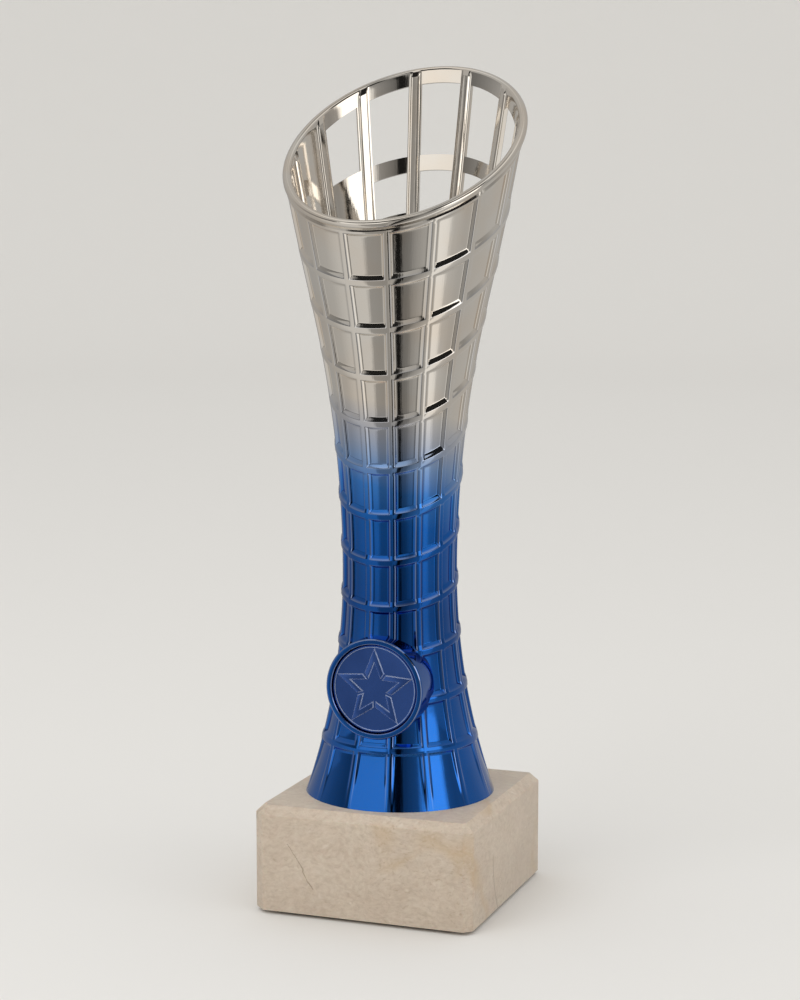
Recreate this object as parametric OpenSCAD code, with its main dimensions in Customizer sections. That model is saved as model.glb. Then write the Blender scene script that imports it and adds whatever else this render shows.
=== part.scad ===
// Column trophy: a hollow hourglass column with a slanted mouth, a disc holder
// on its front, and a square marble base. Millimetres, +Z up, front faces -Y.
// The origin is under the middle of the base, on the surface that it stands on.

/* [Base] */
// Side of the square marble block
base_side = 65; // [55:1:90]
// Height of the marble block
base_height = 30; // [25:1:60]
// Bevel around the top of the block
base_top_bevel = 2.4; // [0.5:0.1:4]
// Bevel on the four upright edges of the block
base_edge_bevel = 2.4; // [0.5:0.1:5]
// Thickness of the felt sheet that it stands on
felt_height = 1; // [0.5:0.1:3]

/* [Column] */
// Radius of the column at its waist
waist_radius = 16.35; // [15:0.05:20]
// Number of upright ribs around the column
rib_count = 14; // [8:2:20]
// Width of the crest of a rib or a ring
rib_width = 2.2; // [1.2:0.1:3]
// Depth of the panels below the crests of the ribs
panel_depth = 0.9; // [0.3:0.1:1.2]
// Wall thickness under the crests of the ribs
wall = 2.4; // [2:0.1:4]

/* [Disc holder] */
// Outer diameter of the round holder
holder_diameter = 28.7; // [28:0.1:34]
// Diameter of the round insert
disc_diameter = 25; // [20:0.5:25]
// Distance from the column's axis to the front face of the holder
holder_reach = 21.4; // [21:0.1:26]
// Height of the middle of the holder above the marble
holder_height = 33.3; // [30:0.1:40]

/* [Hidden] */

// Fine enough for round work; true circles stay true.
$fn = 96;

// Overlap that keeps cut faces clean
eps = 0.01;

// Size of the shapes that trim or cut the column, larger than it is anywhere
cutter = 120;

// Height of the marble's top
base_top = felt_height + base_height;

// The column's outline is three arcs: the foot's flare up to the waist, the
// upper flare, and a slight turn back towards the axis below the mouth.
waist_height = 64;
foot_arc = 196;
flare_arc = 339;
turn_height = 140;
mouth_arc = 960;
turn_angle = asin((turn_height - waist_height) / flare_arc);
turn_radius = waist_radius + flare_arc * (1 - cos(turn_angle));
mouth_centre_radius = turn_radius - mouth_arc * cos(turn_angle);
mouth_centre_height = turn_height + mouth_arc * sin(turn_angle);

// Crest radius of the column at height z above the marble
function crest_radius(z) =
    z < waist_height ? waist_radius + arc_drop(foot_arc, waist_height - z)
    : z < turn_height ? waist_radius + arc_drop(flare_arc, z - waist_height)
    : mouth_centre_radius + sqrt(pow(mouth_arc, 2) - pow(z - mouth_centre_height, 2));

function arc_drop(r, d) = r - sqrt(r * r - d * d);

// Eleven ring ribs. Their planes fan out: they are closer at the front.
ring_count = 11;
first_ring_front = 16.2;
first_ring_back = 16.5;
ring_pitch_front = 13;
ring_pitch_back = 16.25;
ring_proud = 0.3;

// Plain band around the foot, below the lowest panels
foot_band = 4;

// The slanted mouth, low at the front and high at the back
rim_front = 163.1;
rim_back = 207.3;
rim_band = 4.5;
lip_height = 2.4;
lip_proud = 0.7;

// Open windows, counted around the back in each row from the rim downwards, and
// the frame that each window leaves beside its ribs and rings
window_cells = [5, 3, 1];
window_frame = 0.9;

// Outline steps, and how far the outline runs past the rim before the slant cut
outline_steps = 22;
column_top = rim_back + 3;
rib_pitch = 360 / rib_count;
root_depth = wall + 0.6;

// Plug bonded into the foot of the column, with its nut pocket
plug_floor_height = 7;
plug_floor = 3;
plug_rim = 1.6;
plug_clearance = 0.1;
boss_radius = 9;
boss_height = 6;

// M6 fixing bolt, large washers and nut
bolt_radius = 3;
bolt_clearance = 3.3;
bolt_length = 40;
bolt_head_height = 4;
hex_radius = 10 / sqrt(3);
nut_height = 5;
washer_radius = 9;
washer_height = 1.6;
counterbore_radius = 10.5;
counterbore_depth = 10;
bolt_seat = felt_height + counterbore_depth;

// Felt sheet, set in from the edges of the block
felt_inset = 2.5;
felt_corner = 4;

// Seat of the disc holder, how near its boss comes to the column's axis, its insert
// and the relief of the star
seat_radius = disc_diameter / 2 + 0.2;
disc_recess = 0.7;
disc_thickness = 1.5;
adhesive_thickness = 0.5;
adhesive_radius = 10;
seat_depth = disc_recess + disc_thickness + adhesive_thickness;
holder_bevel = 0.5;
holder_root = 6;
star_tip_radius = 11.8;
star_waist_radius = 5.2;
star_band = 1.3;
star_gap = 0.8;
star_relief = 0.35;

// Height where ring i, or the rim, crosses the front and the back of the column
function ring_front(i) = first_ring_front + i * ring_pitch_front;
function ring_back(i) = first_ring_back + i * ring_pitch_back;

// Tilt of the plane through the crest at a front height and a back height
function plane_tilt(front, back) = atan((back - front) / (crest_radius(front) + crest_radius(back)));

// Moves its children onto that plane, measured along the column's axis
module on_plane(front, back) {
    tilt = plane_tilt(front, back);
    translate([0, 0, front + crest_radius(front) * tan(tilt)])
        rotate([tilt, 0, 0]) children();
}

// Everything between two distances above the plane through a front and a back height
module layer(front, back, low, high) {
    on_plane(front, back) translate([0, 0, low]) cylinder(r = cutter, h = high - low);
}

// Shell of revolution from `depth` below the crest to `proud` above it
module shell(proud, depth) {
    heights = [for (i = [0 : outline_steps]) column_top * i / outline_steps];
    outer = [for (z = heights) [crest_radius(z) + proud, z]];
    inner = [for (i = [outline_steps : -1 : 0]) [crest_radius(heights[i]) - depth, heights[i]]];
    rotate_extrude() polygon(concat(outer, inner));
}

module upright_ribs() {
    intersection() {
        shell(0, root_depth);
        for (i = [0 : rib_count / 2 - 1])
            rotate([0, 0, (i + 0.5) * rib_pitch])
                translate([-cutter / 2, -rib_width / 2, 0]) cube([cutter, rib_width, column_top]);
    }
}

module ring_ribs() {
    intersection() {
        shell(ring_proud, root_depth);
        for (i = [0 : ring_count - 1])
            layer(ring_front(i), ring_back(i), -rib_width / 2, rib_width / 2);
    }
}

module foot_rib() {
    intersection() {
        shell(0, root_depth);
        cylinder(r = cutter, h = foot_band);
    }
}

module rim_ribs() {
    intersection() {
        shell(0, root_depth);
        layer(rim_front, rim_back, -rim_band, rim_band);
    }
    intersection() {
        shell(lip_proud, root_depth);
        layer(rim_front, rim_back, -lip_height, lip_height);
    }
}

// Upright wedge between two neighbouring ribs, at the given number of cells from the back
module cell_wedge(cell) {
    half = rib_pitch / 2;
    apex = (rib_width / 2 + window_frame) / sin(half);
    reach = cutter / 2;
    side = (reach - apex) * tan(half);
    rotate([0, 0, 90 + cell * rib_pitch])
        linear_extrude(column_top) polygon([[apex, 0], [reach, side], [reach, -side]]);
}

// Cuts one row of windows: row 0 lies between the rim and the topmost ring
module window_row(row) {
    lower = ring_count - 1 - row;
    side = (window_cells[row] - 1) / 2;
    gap = rib_width / 2 + window_frame;
    intersection() {
        for (cell = [-side : side]) cell_wedge(cell);
        layer(ring_front(lower), ring_back(lower), gap, cutter);
        if (row == 0)
            layer(rim_front, rim_back, -cutter, -rim_band);
        else
            layer(ring_front(lower + 1), ring_back(lower + 1), -cutter, -gap);
    }
}

// Round boss on the front, solid back to the column's wall
module holder_boss() {
    radius = holder_diameter / 2;
    on_holder() {
        cylinder(r1 = radius - holder_bevel, r2 = radius, h = holder_bevel);
        translate([0, 0, holder_bevel]) cylinder(r = radius, h = holder_reach - holder_bevel - holder_root);
    }
}

// Space inside the column's wall
module column_bore() {
    heights = [for (i = [0 : outline_steps]) column_top * i / outline_steps];
    inner = [for (z = heights) [crest_radius(z) - wall, z]];
    rotate_extrude() polygon(concat([[0, 0]], inner, [[0, column_top]]));
}

module column() {
    color("royalblue")
        translate([0, 0, base_top])
            difference() {
                union() {
                    shell(-panel_depth, root_depth);
                    upright_ribs();
                    ring_ribs();
                    foot_rib();
                    rim_ribs();
                    translate([0, 0, -base_top]) holder_boss();
                }
                column_bore();
                layer(rim_front, rim_back, 0, cutter);
                for (row = [0 : len(window_cells) - 1]) window_row(row);
                translate([0, 0, -base_top])
                    on_holder() translate([0, 0, -eps]) cylinder(r = seat_radius, h = seat_depth + eps);
            }
}

// Stepped plug: a skirt against the column's wall, a floor across it, and a boss that
// stands on the marble and holds the nut in a hexagonal pocket
module foot_plug() {
    top = plug_floor_height + plug_floor;
    pocket_radius = hex_radius + plug_clearance;
    skirt_low = crest_radius(0) - wall - plug_clearance;
    skirt_high = crest_radius(top) - wall - plug_clearance;
    color("white")
        translate([0, 0, base_top])
            difference() {
                union() {
                    difference() {
                        cylinder(r1 = skirt_low, r2 = skirt_high, h = top);
                        translate([0, 0, -eps])
                            cylinder(
                                r1 = skirt_low - plug_rim,
                                r2 = skirt_high - plug_rim,
                                h = plug_floor_height
                            );
                    }
                    cylinder(r = boss_radius, h = top + boss_height);
                }
                translate([0, 0, -eps]) cylinder(r = bolt_clearance, h = top + boss_height);
                translate([0, 0, top]) cylinder(r = pocket_radius, h = boss_height + eps, $fn = 6);
            }
}

module marble_base() {
    half = base_side / 2;
    corner = half - base_edge_bevel;
    upright_section = [
        [half, corner], [corner, half], [-corner, half], [-half, corner],
        [-half, -corner], [-corner, -half], [corner, -half], [half, -corner]
    ];
    roof = half - base_top_bevel;
    color("tan")
        translate([0, 0, felt_height])
            difference() {
                intersection() {
                    linear_extrude(base_height) polygon(upright_section);
                    bevelled_prism(half, roof);
                    rotate([0, 0, 90]) bevelled_prism(half, roof);
                }
                translate([0, 0, -eps]) cylinder(r = counterbore_radius, h = counterbore_depth + eps);
                cylinder(r = bolt_clearance, h = base_height + 1);
            }
}

// Long prism whose section is the block's side view, with its two top edges bevelled
module bevelled_prism(half, roof) {
    rotate([90, 0, 0])
        linear_extrude(base_side + 2, center = true)
            polygon([
                [-half, 0], [half, 0], [half, base_height - base_top_bevel], [roof, base_height],
                [-roof, base_height], [-half, base_height - base_top_bevel]
            ]);
}

// Places its children on the holder's axis: z = 0 is the front face, +z points at the column
module on_holder() {
    translate([0, -holder_reach, base_top + holder_height]) rotate([-90, 0, 0]) children();
}

// Five-pointed star with its tips on a circle of radius `tip`
module star(tip, waist) {
    polygon([
        for (i = [0 : 9])
            let (r = i % 2 == 0 ? tip : waist, a = 90 + 36 * i) [r * cos(a), r * sin(a)]
    ]);
}

// Outline of the star as a band, parted at its five inner corners
module star_outline() {
    inner = 1 - star_band / (star_waist_radius * cos(36));
    difference() {
        star(star_tip_radius, star_waist_radius);
        star(star_tip_radius * inner, star_waist_radius * inner);
        for (i = [0 : 4])
            rotate([0, 0, 90 + 36 + 72 * i]) translate([0, -star_gap / 2]) square([10, star_gap]);
    }
}

module star_disc() {
    color("blue")
        on_holder() {
            translate([0, 0, disc_recess]) cylinder(r = disc_diameter / 2, h = disc_thickness);
            translate([0, 0, disc_recess - star_relief])
                rotate([0, 0, 180]) linear_extrude(star_relief + 0.2) star_outline();
        }
}

module disc_adhesive() {
    color("white")
        on_holder()
            translate([0, 0, disc_recess + disc_thickness])
                cylinder(r = adhesive_radius, h = adhesive_thickness);
}

module washer(radius) {
    difference() {
        cylinder(r = radius, h = washer_height);
        translate([0, 0, -1]) cylinder(r = bolt_clearance, h = washer_height + 2);
    }
}

module bolt_washer() {
    color("silver") translate([0, 0, bolt_seat - washer_height]) washer(washer_radius);
}

module fixing_bolt() {
    color("silver")
        translate([0, 0, bolt_seat - washer_height]) {
            translate([0, 0, -bolt_head_height]) cylinder(r = hex_radius, h = bolt_head_height, $fn = 6);
            cylinder(r = bolt_radius, h = bolt_length);
        }
}

module trapped_nut() {
    color("silver")
        translate([0, 0, base_top + plug_floor_height + plug_floor])
            difference() {
                cylinder(r = hex_radius, h = nut_height, $fn = 6);
                translate([0, 0, -1]) cylinder(r = bolt_radius, h = nut_height + 2);
            }
}

module base_felt() {
    half = base_side / 2 - felt_inset;
    color("darkgreen")
        linear_extrude(felt_height)
            intersection() {
                square(2 * half, center = true);
                rotate([0, 0, 45]) square(2 * (half - felt_corner / 2) * sqrt(2), center = true);
            }
}

marble_base();
column();
foot_plug();
star_disc();
disc_adhesive();
fixing_bolt();
bolt_washer();
trapped_nut();
base_felt();
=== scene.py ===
"""Looks of the column trophy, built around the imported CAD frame. Metres, +Z up, front faces -Y."""
import math

import bmesh
import bpy
import numpy as np
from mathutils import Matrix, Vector


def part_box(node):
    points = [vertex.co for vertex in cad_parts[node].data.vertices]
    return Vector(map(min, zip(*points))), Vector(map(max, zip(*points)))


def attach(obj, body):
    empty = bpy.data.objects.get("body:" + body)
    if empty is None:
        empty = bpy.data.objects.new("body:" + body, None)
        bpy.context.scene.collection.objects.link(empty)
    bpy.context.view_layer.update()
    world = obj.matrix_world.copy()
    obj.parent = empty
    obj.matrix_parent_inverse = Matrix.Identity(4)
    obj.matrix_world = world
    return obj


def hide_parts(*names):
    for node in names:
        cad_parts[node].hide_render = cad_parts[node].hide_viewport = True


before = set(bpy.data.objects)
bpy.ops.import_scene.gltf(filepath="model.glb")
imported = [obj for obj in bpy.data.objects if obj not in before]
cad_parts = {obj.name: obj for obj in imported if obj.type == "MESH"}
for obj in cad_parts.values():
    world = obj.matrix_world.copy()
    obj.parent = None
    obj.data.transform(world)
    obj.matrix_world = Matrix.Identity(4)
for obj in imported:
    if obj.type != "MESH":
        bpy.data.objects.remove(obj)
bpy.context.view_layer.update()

MM = 0.001

# Block, in millimetres
BASE_SIDE = 65.0
BASE_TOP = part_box("marble_base")[1].z / MM

# Outline of the column: three arcs, as in the CAD, heights above the marble
WAIST_RADIUS = 16.35
WAIST_HEIGHT = 64.0
FOOT_ARC = 196.0
FLARE_ARC = 339.0
TURN_HEIGHT = 140.0
MOUTH_ARC = 960.0
TURN_ANGLE = math.asin((TURN_HEIGHT - WAIST_HEIGHT) / FLARE_ARC)
TURN_RADIUS = WAIST_RADIUS + FLARE_ARC * (1 - math.cos(TURN_ANGLE))

# Grid of the column; each pair holds a height at the front and one at the back
RIB_COUNT = 14
RING_COUNT = 11
FIRST_RING = (16.2, 16.5)
RING_PITCH = (13.0, 16.25)
RIM = (163.1, 207.3)

# Open windows in each row, counted from the rim down, and the frame left around each of them
OPEN_CELLS = (5, 3, 1)
WINDOW_FRAME = 0.45

# Wall under the crests, and how far the low ribs inside stand in from it
WALL = 2.0
INNER_RIB = 0.5

# Depth below the mouth where the plating inside begins to thin out, and where it is gone
BARE_INSIDE = (45.0, 75.0)

# Height above the marble against how deep the panels are and how far the rings stand out
PANEL_DEPTHS = (
    (0.0, 0.0), (1.0, 0.02), (7.0, 0.27), (9.0, 0.42), (14.0, 0.5), (20.0, 0.75), (34.0, 0.9),
)
RINGS_PROUD = ((0.0, 0.1), (22.0, 0.2), (38.0, 0.35), (92.0, 0.35), (112.0, 0.06))

# Widths of the grid's crests and bevels, and the share of a bevel that is rounded at each end
RIB_CREST = 0.6
RIB_BEVEL = 0.95
RING_CREST = 0.65
SHELF_BEVEL = 1.45
EAVE_BEVEL = 0.95
SOFT_BEVEL = 0.3
CRISP_BEVEL = 0.12

# How far the middle of a rib or a ring is crowned, and the grid steps across a panel
CROWN = 0.06
CELL_STEPS = 6

# The rounded lip, the groove under it, and the plain band below
LIP_HEIGHT = 2.4
LIP_PROUD = 0.6
LIP_TURNS = (-52, 180)
LIP_STEPS = 12
LIP_GROOVE = 0.42
LIP_BAND = 1.3
RIM_PROUD = 0.1

# Disc holder and its insert; the seat's floor is a y coordinate
HOLDER_HEIGHT = 33.3
HOLDER_RADIUS = 14.35
HOLDER_REACH = 21.4
SEAT_RADIUS = 12.7
SEAT_FLOOR = -18.7
DISC_RADIUS = 12.5
DISC_RECESS = 0.7
FIELD_DEPTH = 0.12
LATHE_STEPS = 128
CORNER_STEPS = 5

# Star on the insert
STAR_TIP = 11.8
STAR_WAIST = 5.2
STAR_BAND = 1.6
STAR_GAP = 0.3

# Sides of its raised bands, as (inset, rise), and the thin ring around its field that gets a painted
# highlight
STAR_SIDES = ((0.0, 0.0), (0.22, 0.36), (0.32, 0.39))
PAINTED_HIGHLIGHT_RING = (DISC_RADIUS - 0.72, DISC_RADIUS - 0.56)

# Lacquer colour against height above the marble, the paler colour painted on edges as a highlight and
# its share there, the plastic deep inside, and how much the fade leans across the column
LACQUER = (
    (20.0, (0.013, 0.140, 0.56)), (58.0, (0.004, 0.092, 0.41)), (82.0, (0.007, 0.135, 0.55)),
    (91.0, (0.048, 0.235, 0.71)), (99.0, (0.27, 0.43, 0.74)), (106.0, (0.53, 0.58, 0.69)),
    (115.0, (0.86, 0.82, 0.76)),
)
EDGE_HIGHLIGHT_COLOUR = (0.62, 0.68, 0.80)
EDGE_HIGHLIGHT_SHARE = 0.5
BARE_PLASTIC = (0.54, 0.54, 0.53)
FADE_LEAN = (0.22, 0.08)

# Bevels of the block: around the top, on the uprights from the front right round by the right
# side, the least that an upright one narrows to at the top, and the round on every edge
TOP_BEVEL = 2.4
CORNER_BEVELS = (2.3, 1.5, 2.4, 3.2)
NARROWEST_BEVEL = 0.3
EASED_EDGE = 0.15

# The crack on the block's front: its top and bottom ends, as (x, height), and how deep it goes
FRONT_CRACK = ((-21.6, 20.9), (-14.3, 8.4))
CRACK_DEPTH = 2.5

# Camera, in metres and degrees; azimuth 0 looks from the front
CAMERA_AZIMUTH = 20.2
CAMERA_PITCH = 7.53
CAMERA_DISTANCE = 0.641
CAMERA_HEIGHT = 0.1997
CAMERA_LENS = 81.8

# The light tent, as (degrees to the right of the camera, brightness): at eye level and below,
# raised, high, steep and overhead
TENT_AROUND = (
    (-180, 0.40), (-150, 0.36), (-100, 0.43), (-76, 0.58), (-46, 0.60), (-41.5, 0.32), (-15, 0.28),
    (-11, 0.42), (-7, 0.34), (-6.5, 0.01), (1.5, 0.01), (2.5, 0.15), (12, 0.19), (17, 0.28),
    (29, 0.38), (40, 0.46), (43, 0.86), (58, 0.80), (63, 0.50), (80, 0.42), (130, 0.46), (179, 0.40),
)
TENT_RAISED = (
    (-180, 0.42), (-120, 0.40), (-96, 0.26), (-68, 0.13), (-61, 0.90), (-22, 0.95), (-17, 0.32),
    (-8, 0.22), (-6, 0.012), (2, 0.012), (4, 0.14), (24, 0.30), (29, 1.0), (34, 1.7), (60, 1.6),
    (66, 0.34), (76, 0.27), (88, 0.34), (98, 0.42), (179, 0.42),
)
TENT_HIGH = (
    (-180, 0.45), (-62, 0.45), (-58, 0.015), (-16, 0.015), (-12, 0.40), (6, 0.40), (10, 0.015),
    (60, 0.015), (65, 0.45), (179, 0.45),
)
TENT_STEEP = ((-180, 0.45), (-60, 0.90), (-12, 0.65), (0, 0.30), (30, 0.90), (80, 0.85), (179, 0.45))
TENT_OVERHEAD = ((-180, 0.28), (-60, 0.34), (0, 0.22), (60, 0.36), (179, 0.28))

# Height in degrees where each zone of the tent begins, over how many degrees it blends in, the
# tent's tint, and the even light of the room
TENT_ZONES = (
    (TENT_AROUND, None), (TENT_RAISED, 7), (TENT_HIGH, 31), (TENT_STEEP, 56), (TENT_OVERHEAD, 72),
)
ZONE_BLEND = 1.5
TENT_TINT = (1.0, 0.975, 0.935)
ROOM_LIGHT = (0.94, 0.93, 0.91)

# Softboxes, in metres: side, distance, and the height that they point at
SOFTBOX_SIDE = 0.6
SOFTBOX_DISTANCE = 0.9
SOFTBOX_AIM = 0.1


# ---------------------------------------------------------------- outline

def crest_radius(z):
    """Crest radius of the column at height z above the marble."""
    z = np.asarray(z, float)
    low = WAIST_RADIUS + FOOT_ARC - np.sqrt(FOOT_ARC**2 - np.minimum(z - WAIST_HEIGHT, 0) ** 2)
    rise = np.clip(z - WAIST_HEIGHT, 0, TURN_HEIGHT - WAIST_HEIGHT)
    middle = WAIST_RADIUS + FLARE_ARC - np.sqrt(FLARE_ARC**2 - rise**2)
    centre_r = TURN_RADIUS - MOUTH_ARC * math.cos(TURN_ANGLE)
    centre_z = TURN_HEIGHT + MOUTH_ARC * math.sin(TURN_ANGLE)
    top = centre_r + np.sqrt(MOUTH_ARC**2 - (np.minimum(z, centre_z) - centre_z) ** 2)
    return np.where(z < WAIST_HEIGHT, low, np.where(z < TURN_HEIGHT, middle, top))


def crest_slope(z):
    """How fast the crest radius grows with height."""
    return (crest_radius(z + 0.05) - crest_radius(z - 0.05)) / 0.1


def plane_height(front, back, angle):
    """Height at an angle from the front where the plane through two heights meets the crest."""
    slope = (back - front) / (crest_radius(front) + crest_radius(back))
    axis_height = front + slope * crest_radius(front)
    z = axis_height + 0 * angle
    for _ in range(30):
        z = axis_height - slope * crest_radius(z) * np.cos(angle)
    return z


def ring_height(i, angle):
    """Height of ring i: -1 is the foot, RING_COUNT is the rim."""
    if i < 0:
        return 0 * angle
    if i >= RING_COUNT:
        return plane_height(*RIM, angle)
    front, back = (FIRST_RING[k] + i * RING_PITCH[k] for k in (0, 1))
    return plane_height(front, back, angle)


def on_surface(angle, z, depth):
    """Points in metres, below the crest surface or, with a negative depth, above it."""
    slope = crest_slope(z)
    norm = np.sqrt(1 + slope**2)
    r = crest_radius(z) - depth / norm
    z = z + depth * slope / norm + BASE_TOP
    return np.stack([r * np.sin(angle), -r * np.cos(angle), z], -1) * MM


# ---------------------------------------------------------------- column

def ramp(soft):
    """Steps down a bevel as (share of its width, share of its depth), with both ends rounded."""
    scale = soft * (1 - soft) * 2
    steps = []
    for t in (0.0, soft / 2, soft, 0.5, 1 - soft, 1 - soft / 2, 1.0):
        if t < soft:
            drop = t * t / scale
        elif t > 1 - soft:
            drop = 1 - (1 - t) ** 2 / scale
        else:
            drop = (t - soft / 2) / (1 - soft)
        steps.append((t, drop))
    return steps


def edge_lines(crest, bevel, soft=SOFT_BEVEL, start=0.0):
    """Offsets from a rib's centre line past its bevel, with how far down the bevel each is."""
    steps = ramp(soft)
    offsets = [start, start + crest * 0.6] + [start + crest + bevel * t for t, _drop in steps]
    drops = [0.0, 0.0] + [drop for _t, drop in steps]
    return offsets + [offsets[-1] + WINDOW_FRAME], drops + [1.0]


def cell_lines(low, high, steps):
    """Grid lines across one cell, between two ribs or rings: (side, offset or share, drop)."""
    lines = [("low", o, d) for o, d in zip(*low)]
    lines += [("inner", (k + 1) / (steps + 1), 1.0) for k in range(steps)]
    lines += [("high", o, d) for o, d in reversed(list(zip(*high)))]
    return lines


def column_grid():
    """Angles, heights and depths of the column's outer grid, as arrays over (row line, rib line)."""
    rib = edge_lines(RIB_CREST, RIB_BEVEL)
    shelf = edge_lines(RING_CREST, SHELF_BEVEL, CRISP_BEVEL)
    eave = edge_lines(RING_CREST, EAVE_BEVEL)
    band = edge_lines(LIP_BAND, EAVE_BEVEL, start=LIP_HEIGHT * 0.95)
    open_foot = ([0.0], [1.0])
    pitch = 2 * math.pi / RIB_COUNT

    across = [(c,) + line for c in range(RIB_COUNT) for line in cell_lines(rib, rib, CELL_STEPS)[:-1]]
    up = []
    for row in range(RING_COUNT + 1):
        low = open_foot if row == 0 else shelf
        high = band if row == RING_COUNT else eave
        lines = cell_lines(low, high, CELL_STEPS)
        up += [(row,) + line for line in (lines if row == RING_COUNT else lines[:-1])]

    shape = (len(up), len(across))
    angle = np.zeros(shape)
    z = np.zeros(shape)
    rib_drop = np.array([line[3] for line in across])[None, :] + np.zeros(shape)
    ring_drop = np.array([line[3] for line in up])[:, None] + np.zeros(shape)
    left = np.array([(line[0] - 0.5) * pitch for line in across])
    for _ in range(4):
        r = crest_radius(z)
        rib_reach = rib[0][-1] / r
        for j, (_cell, side, value, _drop) in enumerate(across):
            if side == "low":
                angle[:, j] = left[j] + value / r[:, j]
            elif side == "high":
                angle[:, j] = left[j] + pitch - value / r[:, j]
            else:
                reach = rib_reach[:, j]
                angle[:, j] = left[j] + reach + value * (pitch - 2 * reach)
        for i, (row, side, value, _drop) in enumerate(up):
            low_z, low_lean = leaning_ring(row - 1, angle[i])
            high_z, high_lean = leaning_ring(row, angle[i])
            low_end = (0.0 if row == 0 else shelf[0][-1]) * low_lean
            high_end = (band if row == RING_COUNT else eave)[0][-1] * high_lean
            if side == "low":
                z[i] = low_z + value * low_lean
            elif side == "high":
                z[i] = high_z - value * high_lean
            else:
                z[i] = low_z + low_end + value * (high_z - high_end - low_z - low_end)
    return across, up, angle, z, rib_drop, ring_drop


def leaning_ring(i, angle):
    """Height of ring i, and how much height one millimetre square to it along the surface takes."""
    z = ring_height(i, angle)
    step = 0.01
    lean = (ring_height(i, angle + step) - ring_height(i, angle - step)) / (2 * step * crest_radius(z))
    return z, np.sqrt(1 + lean**2) / np.sqrt(1 + crest_slope(z) ** 2)


def corner_split(kind_up, kind_across):
    """Which diagonal a quad takes, so that two bevels meet in a clean mitre."""
    if kind_up == "inner" or kind_across == "inner":
        return 0
    return 1 if kind_up == kind_across else -1


def add_faces(faces, a, b, c, d, split):
    """One quad, or two triangles along the asked diagonal."""
    if split == 0:
        faces.append((a, b, c, d))
    elif split == 1:
        faces += [(a, b, c), (a, c, d)]
    else:
        faces += [(a, b, d), (b, c, d)]


def is_open(row, cell):
    """True where the cell is a window instead of a panel."""
    from_top = RING_COUNT - row
    return from_top < len(OPEN_CELLS) and abs(cell - RIB_COUNT // 2) <= (OPEN_CELLS[from_top] - 1) // 2


def surface_depth(across, up, z, rib_drop, ring_drop):
    """How far each point of the outer grid lies below the crest surface."""
    on_rim_band = np.array([line[0] == RING_COUNT and line[1] == "high" for line in up])[:, None]
    proud = np.where(on_rim_band, RIM_PROUD, np.interp(z, *zip(*RINGS_PROUD))) * (1 - ring_drop)
    depth = np.interp(z, *zip(*PANEL_DEPTHS)) * np.minimum(rib_drop, ring_drop) - proud
    rib_crown, ring_crown = (
        np.array([CROWN if line[2] == 0 and line[1] != "inner" else 0 for line in lines])
        for lines in (across, up))
    depth -= np.maximum(rib_crown[None, :], ring_crown[:, None])
    depth[-1] = LIP_GROOVE
    return depth


def painted_highlight_edges(z, rib_drop, ring_drop):
    """Where a painted highlight goes: 1 at the top of the ribs' bevels, less on the rings' and near the
    foot, 0 elsewhere.
    """
    fall = np.minimum(rib_drop, ring_drop)
    edge = np.where((fall > 0) & (fall < 0.1), 1.0, np.where((fall > 0) & (fall < 0.25), 0.3, 0.0))
    on_ring = np.interp(z, (20, 60), (0.1, 0.6))
    return edge * np.interp(z, (0, 8, 40), (0.1, 0.6, 1)) * np.where(rib_drop < ring_drop, 1.0, on_ring)


def wall_faces(across, up):
    """Faces of the outer and the inner wall and of the windows' sides."""
    rows, cols = len(up), len(across)
    inner_start = rows * cols
    faces = []
    holes = set()
    for i in range(rows - 1):
        row, side_up = up[i][0], up[i][1]
        drop_up = min(up[i][3], up[i + 1][3])
        for j in range(cols):
            k = (j + 1) % cols
            cell, side_across = across[j][0], across[j][1]
            drop_across = min(across[j][3], across[k][3])
            framed = up[i][1] == up[i + 1][1] != "inner" or side_across == across[k][1] != "inner"
            if drop_up >= 1 and drop_across >= 1 and not framed and is_open(row, cell):
                holes.add((i, j))
                continue
            ramp_up = "inner" if up[i][3] == up[i + 1][3] else side_up
            ramp_across = "inner" if across[j][3] == across[k][3] else side_across
            quad = (i * cols + j, i * cols + k, (i + 1) * cols + k, (i + 1) * cols + j)
            add_faces(faces, *quad, corner_split(ramp_up, ramp_across))
            faces.append(tuple(inner_start + v for v in reversed(quad)))
    for i, j in holes:
        k = (j + 1) % cols
        low_left, low_right = i * cols + j, i * cols + k
        high_left, high_right = low_left + cols, low_right + cols
        borders = [
            ((i - 1, j), low_left, low_right), ((i, k), low_right, high_right),
            ((i + 1, j), high_right, high_left), ((i, (j - 1) % cols), high_left, low_left),
        ]
        for neighbour, a, b in borders:
            if neighbour not in holes:
                faces.append((a, b, inner_start + b, inner_start + a))
    return faces


def end_faces(rows, cols):
    """Faces across the wall at the foot, and over the lip from the outer to the inner wall."""
    inner_start, lip_start = rows * cols, 2 * rows * cols
    loops = [(rows - 1) * cols] + [lip_start + n * cols for n in range(LIP_STEPS)]
    loops.append(inner_start + (rows - 1) * cols)
    faces = []
    for j in range(cols):
        k = (j + 1) % cols
        faces.append((k, j, inner_start + j, inner_start + k))
        for low, high in zip(loops, loops[1:]):
            faces.append((low + j, low + k, high + k, high + j))
    return faces


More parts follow.
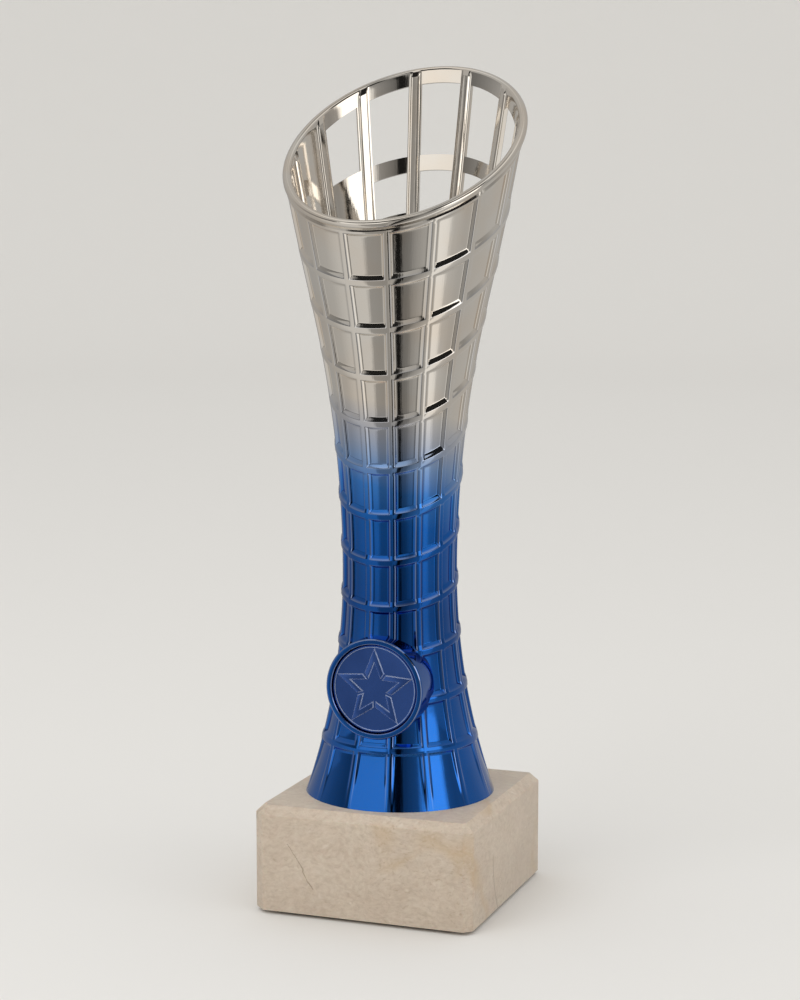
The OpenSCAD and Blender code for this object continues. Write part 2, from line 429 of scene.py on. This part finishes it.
def column_mesh():
    """The column's shell, with two marks on each point: on an edge with a painted highlight, and bare
    inside.
    """
    across, up, angle, z, rib_drop, ring_drop = column_grid()
    outer = on_surface(angle, z, surface_depth(across, up, z, rib_drop, ring_drop))
    flatten_seat(outer)
    inner_rib = INNER_RIB * np.clip(1.8 * (1 - rib_drop), 0, 1) * np.clip((z - 20) / 20, 0, 1)
    inner = on_surface(angle, np.maximum(z, 0), WALL + inner_rib)
    inner[0, :, 2] = BASE_TOP * MM
    lip = lip_loops(angle[-1])
    points = np.concatenate([part.reshape(-1, 3) for part in (outer, inner, lip)])

    unmarked, lip_unmarked = np.zeros(angle.size), np.zeros(lip.size // 3)
    # Painted highlight marks on the outer grid
    edges = np.concatenate([painted_highlight_edges(z, rib_drop, ring_drop).reshape(-1), unmarked, lip_unmarked])
    bare = np.interp(ring_height(RING_COUNT, angle) - z, BARE_INSIDE, (0.0, 1.0))
    insides = np.concatenate([unmarked, bare.reshape(-1), lip_unmarked])
    return points, wall_faces(across, up) + end_faces(*angle.shape), edges, insides


def flatten_seat(points):
    """Keeps the ribs out of the space where the insert lies."""
    x, y, z = points[..., 0] / MM, points[..., 1] / MM, points[..., 2] / MM
    in_seat = (x**2 + (z - BASE_TOP - HOLDER_HEIGHT) ** 2 < SEAT_RADIUS**2) & (y < SEAT_FLOOR)
    points[..., 1] = np.where(in_seat, SEAT_FLOOR * MM, points[..., 1])


def lip_loops(angle):
    """Loops around the rounded lip, from under its outside over the top to the inner wall."""
    z = ring_height(RING_COUNT, angle)
    rim = on_surface(angle, z, 0)
    outward = on_surface(angle, z, -1) - rim
    along = np.roll(rim, -1, 0) - np.roll(rim, 1, 0)
    up = np.cross(outward, along)
    up /= np.linalg.norm(up, axis=1)[:, None]
    up *= np.sign(up[:, 2:3]) * MM
    half_width = (WALL + LIP_PROUD) / 2
    loops = []
    for turn in np.radians(np.linspace(*LIP_TURNS, LIP_STEPS)):
        out = LIP_PROUD - half_width + half_width * math.cos(turn)
        rise = -LIP_HEIGHT / 2 + LIP_HEIGHT / 2 * math.sin(turn)
        loops.append(rim + outward * out + up * rise)
    return np.array(loops)


def loft(loops, segments):
    """Points and faces through closed loops, each a function from angles to points in millimetres."""
    angle = np.linspace(0, 2 * math.pi, segments, endpoint=False)
    points = np.concatenate([loop(angle) for loop in loops]) * MM
    faces = []
    for n in range(len(loops) - 1):
        for j in range(segments):
            k = (j + 1) % segments
            a, b = n * segments, (n + 1) * segments
            faces.append((a + j, a + k, b + k, b + j))
    return points, faces


def front_lathe(outline):
    """Surface turned about the holder's axis, from (radius, distance behind the holder's face)."""
    def loop(radius, behind):
        return lambda a: np.stack([
            radius * np.cos(a), behind - HOLDER_REACH + 0 * a,
            BASE_TOP + HOLDER_HEIGHT + radius * np.sin(a)], 1)
    return loft([loop(r, d) for r, d in outline], LATHE_STEPS)


def rounded(outline, radius):
    """Rounds the inner corners of an outline of (a, b) points."""
    result = [outline[0]]
    for before, corner, after in zip(outline, outline[1:], outline[2:]):
        before, corner, after = Vector(before), Vector(corner), Vector(after)
        reach = min(radius, (before - corner).length / 2, (after - corner).length / 2)
        start = corner + (before - corner).normalized() * reach
        end = corner + (after - corner).normalized() * reach
        for k in range(CORNER_STEPS + 1):
            t = k / CORNER_STEPS
            result.append(tuple((1 - t) ** 2 * start + 2 * t * (1 - t) * corner + t * t * end))
    result.append(outline[-1])
    return result


def holder_mesh():
    """The holder's front and side, with the same two marks as the column; the painted highlight mark
    lies on the rims of its face.
    """
    seat = HOLDER_REACH + SEAT_FLOOR
    outline = [
        (0.01, seat), (SEAT_RADIUS, seat), (SEAT_RADIUS, 0.2), (SEAT_RADIUS + 0.2, 0.0),
        (HOLDER_RADIUS - 0.35, 0.0), (HOLDER_RADIUS, 0.45), (HOLDER_RADIUS, 10.0),
    ]
    points, faces = front_lathe(rounded(outline, 0.14))
    behind = points[:, 1] / MM + HOLDER_REACH
    radius = np.hypot(points[:, 0] / MM, points[:, 2] / MM - BASE_TOP - HOLDER_HEIGHT)
    # Painted highlight on the rims of the holder's face
    near_rim = (behind < 0.16) & ((radius > HOLDER_RADIUS - 0.4) | (radius < SEAT_RADIUS + 0.22))
    return points, faces, np.where(near_rim, 1.0, 0.0), np.zeros(len(points))


def new_object(name, points, faces, smooth_angle=33):
    mesh = bpy.data.meshes.new(name)
    mesh.from_pydata([tuple(p) for p in points], [], faces)
    mesh.validate()
    mesh.update()
    piece = bpy.data.objects.new(name, mesh)
    bpy.context.scene.collection.objects.link(piece)
    mesh.polygons.foreach_set("use_smooth", [True] * len(mesh.polygons))
    mesh.set_sharp_from_angle(angle=math.radians(smooth_angle))
    return piece


def join_parts(parts):
    """One mesh from several (points, faces) pairs."""
    points, faces, start = [], [], 0
    for part_points, part_faces in parts:
        points.append(part_points)
        faces += [tuple(v + start for v in f) for f in part_faces]
        start += len(part_points)
    return np.concatenate(points), faces


# ---------------------------------------------------------------- star insert

def disc_mesh():
    """The insert's disc, with a rounded edge and a shallow moat around the star's field."""
    edge = DISC_RADIUS
    front = DISC_RECESS
    outline = [
        (edge - 1.5, front + 1.5), (edge, front + 1.5), (edge, front + 0.25), (edge - 0.25, front),
        (edge - 0.55, front), (edge - 0.8, front + FIELD_DEPTH), (0.01, front + FIELD_DEPTH),
    ]
    return front_lathe(rounded(outline, 0.12))


def star_point(radius, turn):
    """Point at a radius and an angle in degrees from straight up, on the insert's field."""
    a = math.radians(turn)
    return Vector((radius * math.sin(a), radius * math.cos(a)))


def star_arm(turn):
    """Outline of one arm of the star: a chevron band, cut back at its two ends."""
    inner = 1 - STAR_BAND / (STAR_WAIST * math.cos(math.radians(36)))
    tip, waist_left, waist_right = (
        star_point(STAR_TIP, turn), star_point(STAR_WAIST, turn - 36), star_point(STAR_WAIST, turn + 36))
    outline = []
    for scale, order in ((1.0, (waist_left, tip, waist_right)), (inner, (waist_right, tip, waist_left))):
        start, middle, end = (p * scale for p in order)
        cut_start = start + (middle - start).normalized() * STAR_GAP
        cut_end = end + (middle - end).normalized() * STAR_GAP
        outline += [cut_start, middle, cut_end]
    return outline


def star_mesh():
    """Five raised chevrons with sloping sides, standing on the insert's field."""
    points, faces = [], []
    field = HOLDER_REACH - DISC_RECESS - FIELD_DEPTH
    for k in range(5):
        outline = star_arm(72 * k)
        start = len(points)
        count = len(outline)
        for inset, rise in STAR_SIDES:
            for p in inset_outline(outline, inset):
                points.append((p.x, -field - rise, BASE_TOP + HOLDER_HEIGHT + p.y))
        for layer in range(len(STAR_SIDES) - 1):
            low, high = start + layer * count, start + (layer + 1) * count
            for j in range(count):
                n = (j + 1) % count
                faces.append((low + j, high + j, high + n, low + n))
        top = start + (len(STAR_SIDES) - 1) * count
        faces += [(top, top + 5, top + 4, top + 1), (top + 1, top + 4, top + 3, top + 2)]
    return np.array(points) * MM, faces


def inset_outline(outline, amount):
    """A closed outline, clockwise as seen from the front, moved inwards on every side."""
    result = []
    for before, p, after in zip(outline[-1:] + outline[:-1], outline, outline[1:] + outline[:1]):
        a = (p - before).normalized()
        b = (after - p).normalized()
        normal_a, normal_b = Vector((a.y, -a.x)), Vector((b.y, -b.x))
        bisector = (normal_a + normal_b).normalized()
        result.append(p + bisector * amount / max(0.25, bisector.dot(normal_a)))
    return result


# ---------------------------------------------------------------- materials

class Nodes:
    """Small helper that adds and links shader nodes."""

    def __init__(self, name):
        self.material = bpy.data.materials.new(name)
        self.material.use_nodes = True
        self.tree = self.material.node_tree
        self.shader = self.tree.nodes["Principled BSDF"]

    @classmethod
    def on_tree(cls, tree):
        nodes = cls.__new__(cls)
        nodes.tree = tree
        return nodes

    def add(self, kind, **settings):
        node = self.tree.nodes.new("ShaderNode" + kind)
        for key, value in settings.items():
            if key in node.inputs:
                self.put(node.inputs[key], value)
            else:
                setattr(node, key, value)
        return node

    def put(self, socket, value):
        """Links an output, or sets a plain value."""
        if isinstance(value, bpy.types.NodeSocket):
            self.tree.links.new(value, socket)
        else:
            socket.default_value = value

    def math(self, operation, *values):
        node = self.tree.nodes.new("ShaderNodeMath")
        node.operation = operation
        for socket, value in zip(node.inputs, values):
            self.put(socket, value)
        return node.outputs[0]

    def ramp(self, factor, *stops):
        node = self.tree.nodes.new("ShaderNodeValToRGB")
        elements = node.color_ramp.elements
        while len(elements) < len(stops):
            elements.new(0.5)
        for element, (position, colour) in zip(elements, stops):
            element.position = position
            element.color = colour if len(colour) == 4 else (*colour, 1)
        self.put(node.inputs[0], factor)
        return node.outputs[0]

    def mix(self, factor, a, b):
        node = self.tree.nodes.new("ShaderNodeMix")
        node.data_type = "RGBA"
        self.put(node.inputs["Factor"], factor)
        for socket, value in ((node.inputs["A"], a), (node.inputs["B"], b)):
            target = [s for s in node.inputs if s.name == socket.name and s.type == "RGBA"][0]
            self.put(target, value if isinstance(value, bpy.types.NodeSocket) else (*value, 1))
        return [s for s in node.outputs if s.type == "RGBA"][0]

    def near(self, field, level, reach):
        """1 where a field crosses a level, falling to 0 at a distance from it."""
        distance = self.math("ABSOLUTE", self.math("SUBTRACT", field, level))
        return self.ramp(distance, (0.0, grey(1.0)), (reach, grey(0.0)))

    def place(self):
        return self.add("TexCoord").outputs["Object"]

    def noise(self, scale, detail=4.0, roughness=0.5, vector=None, **more):
        node = self.add("TexNoise", Scale=scale, Detail=detail, Roughness=roughness, **more)
        self.put(node.inputs["Vector"], vector or self.place())
        return node.outputs["Fac"]

    def bump(self, height, strength, distance):
        node = self.add("Bump", Strength=strength, Distance=distance, Height=height)
        self.put(self.shader.inputs["Normal"], node.outputs["Normal"])

    def set(self, **values):
        for key, value in values.items():
            self.put(self.shader.inputs[key.replace("_", " ")], value)
        return self


def grey(level):
    return (level, level, level)


def plated_column():
    """Mirror plating under a clear blue lacquer, which fades out upwards; a paler colour painted along
    the edges stands in for highlights.
    """
    n = Nodes("plated_column")
    axes = n.add("SeparateXYZ", Vector=n.place())
    x, y, z = axes.outputs
    sideways = n.math("ADD", n.math("MULTIPLY", x, FADE_LEAN[0]), n.math("MULTIPLY", y, FADE_LEAN[1]))
    height = n.math("ADD", n.math("ADD", z, sideways), n.math("MULTIPLY", n.noise(60.0, 3.0), 0.006))
    low, high = ((BASE_TOP + LACQUER[k][0]) * MM for k in (0, -1))
    share = n.math("DIVIDE", n.math("SUBTRACT", height, low), high - low)
    span = LACQUER[-1][0] - LACQUER[0][0]
    colour = n.ramp(share, *[((h - LACQUER[0][0]) / span, c) for h, c in LACQUER])
    # Painted highlight: the colour turns paler along the marked edges
    edge_highlight = n.math("MULTIPLY", n.add("Attribute", attribute_name="edge").outputs["Fac"], EDGE_HIGHLIGHT_SHARE)
    colour = n.mix(edge_highlight, colour, EDGE_HIGHLIGHT_COLOUR)
    cloud = n.noise(25.0, 3.0)
    tint = n.ramp(n.noise(70.0, 2.0), (0.4, grey(1.0)), (0.65, (1.0, 0.955, 0.91)))
    colour = n.mix(1.0, colour, tint)
    colour.node.blend_type = "MULTIPLY"
    bare = n.add("Attribute", attribute_name="bare_inside").outputs["Fac"]
    colour = n.mix(bare, colour, BARE_PLASTIC)
    dull = n.math("MULTIPLY", bare, 0.45)
    gloss = n.math("ADD", n.ramp(cloud, (0.3, grey(0.035)), (0.75, grey(0.07))), dull)
    n.set(Base_Color=colour, Metallic=n.math("SUBTRACT", 1.0, bare), Roughness=gloss)
    n.set(Coat_Weight=0.25, Coat_Roughness=0.04)
    around = n.math("MULTIPLY", n.math("ARCTAN2", x, y), 0.03)
    streak_place = n.add("CombineXYZ", X=around, Y=n.math("MULTIPLY", z, 0.06)).outputs[0]
    streaks = n.noise(1400.0, 4.0, 0.6, streak_place)
    n.bump(n.math("ADD", n.math("MULTIPLY", streaks, 0.7), n.noise(240.0, 2.0)), 0.08, 0.0002)
    return n.material


def plated_disc():
    n = Nodes("plated_disc")
    cloud = n.noise(90.0, 4.0)
    n.set(Base_Color=n.ramp(cloud, (0.3, (0.034, 0.105, 0.40)), (0.75, (0.050, 0.135, 0.48))),
          Metallic=1.0, Roughness=n.ramp(cloud, (0.3, grey(0.16)), (0.8, grey(0.24))), Coat_Weight=0.5)
    n.bump(n.noise(900.0, 3.0), 0.08, 0.0001)
    return n.material


def painted_highlight_edge():
    """Painted highlight on the star's sloping sides and on a thin ring of the disc."""
    n = Nodes("painted_highlight_edge")
    # Random mottling of the painted highlight's colour
    highlight_mottle = n.noise(500.0, 3.0)
    n.set(Base_Color=n.ramp(highlight_mottle, (0.3, (0.30, 0.40, 0.68)), (0.7, (0.60, 0.68, 0.84))),
          Metallic=0.7, Roughness=0.5)
    return n.material


def marble():
    """Honed cream marble: clouded ground, small pale fossils, ochre veins and a few hair cracks."""
    n = Nodes("cream_marble")
    place = n.place()
    warp = n.add("TexNoise", Scale=22.0, Detail=5.0, Roughness=0.6, Vector=place)
    bent = n.add("VectorMath", operation="MULTIPLY_ADD")
    n.put(bent.inputs[0], warp.outputs["Color"])
    bent.inputs[1].default_value = (0.02, 0.02, 0.02)
    n.put(bent.inputs[2], place)
    bent = bent.outputs[0]
    bedding = n.add("Mapping", Scale=(1.0, 1.0, 1.6))
    n.put(bedding.inputs["Vector"], bent)
    bedded = bedding.outputs[0]
    clouds = n.noise(55.0, 8.0, 0.68, bedded)
    grains = n.noise(520.0, 8.0, 0.72, bedded)
    ground = n.ramp(
        clouds, (0.30, (0.50, 0.405, 0.32)), (0.5, (0.565, 0.47, 0.375)), (0.72, (0.64, 0.55, 0.45)))
    speckle = n.ramp(
        grains, (0.34, (0.43, 0.34, 0.26)), (0.48, (0.57, 0.475, 0.38)), (0.66, (0.69, 0.61, 0.51)))
    colour = n.mix(0.5, ground, speckle)
    shoals = n.ramp(n.noise(40.0, 3.0, 0.5, place), (0.45, grey(0.15)), (0.62, grey(0.75)))
    flecks = n.ramp(n.noise(700.0, 3.0, 0.6, bedded), (0.58, grey(0.0)), (0.68, grey(1.0)))
    fleck_share = n.math("MULTIPLY", flecks, n.math("MULTIPLY", shoals, 0.55))
    colour = n.mix(fleck_share, colour, (0.36, 0.26, 0.17))
    fossil_field = n.add("TexVoronoi", Scale=210.0, Vector=bent).outputs["Distance"]
    fossils = n.math("MULTIPLY", n.ramp(fossil_field, (0.05, grey(1.0)), (0.14, grey(0.0))), 0.35)
    colour = n.mix(fossils, colour, (0.76, 0.69, 0.60))
    vein_field = n.noise(14.0, 3.0, 0.5, bent)
    vein = n.near(vein_field, 0.53, 0.022)
    patches = n.ramp(n.noise(30.0, 2.0, 0.5, place), (0.52, grey(0.0)), (0.66, grey(1.0)))
    vein_share = n.math("MULTIPLY", n.math("MULTIPLY", vein, patches), 0.5)
    colour = n.mix(vein_share, colour, (0.50, 0.33, 0.15))
    crack_field = n.noise(9.0, 1.0, 0.4, place)
    crack = n.near(crack_field, 0.47, 0.0018)
    short = n.ramp(n.noise(42.0, 1.0, 0.4, place), (0.5, grey(0.0)), (0.56, grey(1.0)))
    crack = n.math("MULTIPLY", crack, short)
    colour = n.mix(n.math("MULTIPLY", crack, 0.5), colour, (0.24, 0.17, 0.11))
    colour = n.mix(n.math("MULTIPLY", front_crack(n, place), 0.55), colour, (0.22, 0.16, 0.10))
    n.set(Base_Color=colour, Roughness=n.ramp(grains, (0.3, grey(0.28)), (0.7, grey(0.42))))
    n.set(Specular_IOR_Level=0.5, Subsurface_Weight=0.1, Subsurface_Scale=0.003)
    n.bump(n.math("ADD", n.math("MULTIPLY", grains, 0.6), n.math("MULTIPLY", crack, -0.4)), 0.12, 0.0002)
    return n.material


def front_crack(n, place):
    """One hair crack that slants down the left of the block's front: 1 in the crack, 0 elsewhere."""
    x, y, z = n.add("SeparateXYZ", Vector=place).outputs
    (top_x, top), (end_x, end) = FRONT_CRACK
    lean = (end_x - top_x) / (end - top)
    wobble = n.math("MULTIPLY", n.math("SUBTRACT", n.noise(160.0, 3.0, 0.6, place), 0.5), 0.004)
    line = n.math("ADD", n.math("MULTIPLY", n.math("SUBTRACT", z, top * MM), lean), wobble)
    off = n.math("ABSOLUTE", n.math("SUBTRACT", n.math("SUBTRACT", x, top_x * MM), line))
    width = n.math("MULTIPLY", n.noise(300.0, 2.0, 0.5, place), 0.0003)
    inside = n.math("LESS_THAN", off, width)
    for test in (
        n.math("GREATER_THAN", z, end * MM), n.math("LESS_THAN", z, top * MM),
        n.math("LESS_THAN", y, (CRACK_DEPTH - BASE_SIDE / 2) * MM),
    ):
        inside = n.math("MULTIPLY", inside, test)
    return inside


def zinc(name, tint):
    n = Nodes(name)
    cloud = n.noise(700.0, 5.0, 0.6)
    n.set(Base_Color=n.ramp(cloud, (0.3, tuple(0.8 * t for t in tint)), (0.7, tint)),
          Metallic=1.0, Roughness=n.ramp(cloud, (0.3, grey(0.28)), (0.7, grey(0.42))))
    n.bump(cloud, 0.1, 0.0001)
    return n.material


def moulded_plastic():
    n = Nodes("moulded_plastic")
    grain = n.noise(1500.0, 4.0)
    n.set(Base_Color=n.ramp(n.noise(60.0, 3.0), (0.3, (0.50, 0.50, 0.49)), (0.7, (0.58, 0.58, 0.57))),
          Roughness=n.ramp(grain, (0.3, grey(0.45)), (0.7, grey(0.6))))
    n.bump(grain, 0.15, 0.0001)
    return n.material


def foam_tape():
    n = Nodes("foam_tape")
    cells = n.add("TexVoronoi", Scale=2500.0, Vector=n.place())
    pores = cells.outputs["Distance"]
    n.set(Base_Color=n.ramp(pores, (0.0, grey(0.6)), (0.6, grey(0.8))), Roughness=0.8)
    n.bump(pores, 0.3, 0.0001)
    return n.material


def felt():
    n = Nodes("black_felt")
    fibres = n.noise(2600.0, 8.0, 0.75)
    tufts = n.noise(300.0, 4.0, 0.6)
    both = n.math("MULTIPLY", fibres, tufts)
    n.set(Base_Color=n.ramp(both, (0.12, grey(0.008)), (0.45, grey(0.05))))
    n.set(Roughness=0.95, Sheen_Weight=0.4)
    n.bump(both, 0.6, 0.0004)
    return n.material


def wear(piece, material):
    piece.data.materials.clear()
    piece.data.materials.append(material)


# ---------------------------------------------------------------- pieces

def build_column():
    shell, holder = column_mesh(), holder_mesh()
    points, faces = join_parts([shell[:2], holder[:2]])
    piece = new_object("column_shell", points, faces)
    # The edge mark says where the painted highlight goes
    for name, k in (("edge", 2), ("bare_inside", 3)):
        marks = piece.data.attributes.new(name, "FLOAT", "POINT")
        marks.data.foreach_set("value", np.concatenate([shell[k], holder[k]]))
    wear(piece, plated_column())
    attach(piece, "root")
    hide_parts("column")


def build_star_disc():
    disc, star = disc_mesh(), star_mesh()
    points, faces = join_parts([disc, star])
    piece = new_object("star_insert", points, faces, 25)
    wear(piece, plated_disc())
    piece.data.materials.append(painted_highlight_edge())
    # The star's sloping sides and a thin ring on the disc take the painted highlight material
    for face in piece.data.polygons:
        spot = face.center / MM
        radius = math.hypot(spot.x, spot.z - BASE_TOP - HOLDER_HEIGHT)
        on_star = face.index >= len(disc[1]) and abs(face.normal.y) < 0.9
        on_ring = face.index < len(disc[1]) and PAINTED_HIGHLIGHT_RING[0] < radius < PAINTED_HIGHLIGHT_RING[1]
        face.material_index = 1 if on_star or on_ring else 0
    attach(piece, "root")
    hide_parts("star_disc")


def build_block():
    """The marble block with its top and upright bevels, every edge eased."""
    low, high = (c.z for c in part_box("marble_base"))
    half = BASE_SIDE / 2 * MM
    bevel = TOP_BEVEL * MM

    def octagon(inset, z):
        """Outline of the block from the front right corner, going round by the right side."""
        h = half - inset
        points = []
        for (x, y), corner in zip(((1, -1), (1, 1), (-1, 1), (-1, -1)), CORNER_BEVELS):
            c = h - max(NARROWEST_BEVEL * MM, corner * MM - (2 - math.sqrt(2)) * inset)
            ends = [(x * c, y * h, z), (x * h, y * c, z)]
            points += ends if x * y < 0 else reversed(ends)
        return points

    points = octagon(0, low) + octagon(0, high - bevel) + octagon(bevel, high)
    faces = [tuple(reversed(range(8))), tuple(range(16, 24))]
    for start in (0, 8):
        for j in range(8):
            k = (j + 1) % 8
            faces.append((start + j, start + k, start + 8 + k, start + 8 + j))
    piece = new_object("marble_block", points, faces)
    mesh = bmesh.new()
    mesh.from_mesh(piece.data)
    bmesh.ops.bevel(
        mesh, geom=mesh.edges[:], offset=EASED_EDGE * MM, segments=3, profile=0.5, affect="EDGES")
    mesh.to_mesh(piece.data)
    mesh.free()
    piece.data.polygons.foreach_set("use_smooth", [True] * len(piece.data.polygons))
    piece.data.set_sharp_from_angle(angle=math.radians(40))
    wear(piece, marble())
    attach(piece, "root")
    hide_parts("marble_base")


def dress_hidden_pieces():
    wear(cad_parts["fixing_bolt"], zinc("zinc_bolt", (0.62, 0.62, 0.64)))
    wear(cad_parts["bolt_washer"], zinc("zinc_washer", (0.66, 0.66, 0.66)))
    wear(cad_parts["trapped_nut"], zinc("zinc_nut", (0.60, 0.60, 0.62)))
    wear(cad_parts["foot_plug"], moulded_plastic())
    wear(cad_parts["disc_adhesive"], foam_tape())
    wear(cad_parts["base_felt"], felt())


# ---------------------------------------------------------------- studio

def studio_floor():
    """Pale floor that sweeps up into a low round wall, so that no horizon shows from any side."""
    flat, sweep = 2.0, 1.2
    profile = [(1.2, 0.0), (flat, 0.0)]
    for a in np.radians(np.arange(6, 91, 6)):
        profile.append((flat + sweep * math.sin(a), sweep * (1 - math.cos(a))))
    count = 96
    points, faces = [], []
    for r, z in profile:
        for a in np.linspace(0, 2 * math.pi, count, endpoint=False):
            points.append((r * math.cos(a), r * math.sin(a), z))
    faces.append(tuple(range(count)))
    for n in range(len(profile) - 1):
        for j in range(count):
            k = (j + 1) % count
            faces.append((n * count + j, n * count + k, (n + 1) * count + k, (n + 1) * count + j))
    floor = new_object("studio_floor", points, faces)
    n = Nodes("studio_paper")
    n.set(Base_Color=(0.78, 0.77, 0.75, 1), Roughness=0.9)
    n.bump(n.noise(300.0, 3.0), 0.02, 0.0005)
    wear(floor, n.material)
    floor.visible_glossy = False


def studio_light():
    """A pale, even room; shiny surfaces mirror a light tent with soft panels and a dark gap."""
    world = bpy.data.worlds.new("light_tent")
    bpy.context.scene.world = world
    world.use_nodes = True
    n = Nodes.on_tree(world.node_tree)
    background = n.tree.nodes["Background"]
    direction = n.add("TexCoord").outputs["Generated"]
    x, y, z = n.add("SeparateXYZ", Vector=direction).outputs
    turn = n.math("DIVIDE", n.math("ARCTAN2", x, n.math("MULTIPLY", y, -1.0)), 2 * math.pi)
    turn = n.math("FRACT", n.math("ADD", turn, 0.5 - CAMERA_AZIMUTH / 360))
    rise = n.math("DIVIDE", n.math("ARCSINE", z), math.pi / 2)
    tent = None
    for levels, start in TENT_ZONES:
        ring = n.ramp(turn, *[(0.5 + degrees / 360, grey(level)) for degrees, level in levels])
        if tent is None:
            tent = ring
        else:
            above = n.ramp(rise, (start / 90, grey(0)), ((start + ZONE_BLEND) / 90, grey(1)))
            tent = n.mix(above, tent, ring)
    tinted = n.mix(1.0, tent, TENT_TINT)
    tinted.node.blend_type = "MULTIPLY"
    mirrored = n.add("LightPath").outputs["Is Glossy Ray"]
    n.put(background.inputs["Color"], n.mix(mirrored, ROOM_LIGHT, tinted))


def softbox(name, azimuth, elevation, power):
    """A square light that points at the trophy, and that nothing shiny mirrors."""
    data = bpy.data.lights.new(name, "AREA")
    data.shape = "RECTANGLE"
    data.size = data.size_y = SOFTBOX_SIDE
    data.energy = power
    light = bpy.data.objects.new(name, data)
    bpy.context.scene.collection.objects.link(light)
    a, e = math.radians(azimuth), math.radians(elevation)
    direction = Vector((math.sin(a) * math.cos(e), -math.cos(a) * math.cos(e), math.sin(e)))
    light.location = direction * SOFTBOX_DISTANCE + Vector((0, 0, SOFTBOX_AIM))
    light.rotation_euler = (-direction).to_track_quat("-Z", "Y").to_euler()
    light.visible_glossy = False


def camera():
    data = bpy.data.cameras.new("camera")
    data.lens = CAMERA_LENS
    data.sensor_width = 36.0
    data.clip_start = 0.01
    view = bpy.data.objects.new("camera", data)
    bpy.context.scene.collection.objects.link(view)
    a = math.radians(CAMERA_AZIMUTH)
    view.location = (math.sin(a) * CAMERA_DISTANCE, -math.cos(a) * CAMERA_DISTANCE, CAMERA_HEIGHT)
    view.rotation_euler = (math.radians(90 - CAMERA_PITCH), 0, a)
    bpy.context.scene.camera = view


build_column()
build_star_disc()
build_block()
dress_hidden_pieces()
studio_floor()
studio_light()
softbox("key_softbox", azimuth=CAMERA_AZIMUTH - 45, elevation=38, power=1.8)
softbox("fill_softbox", azimuth=CAMERA_AZIMUTH + 65, elevation=12, power=0.9)
camera()
bpy.context.scene.view_settings.view_transform = "Standard"
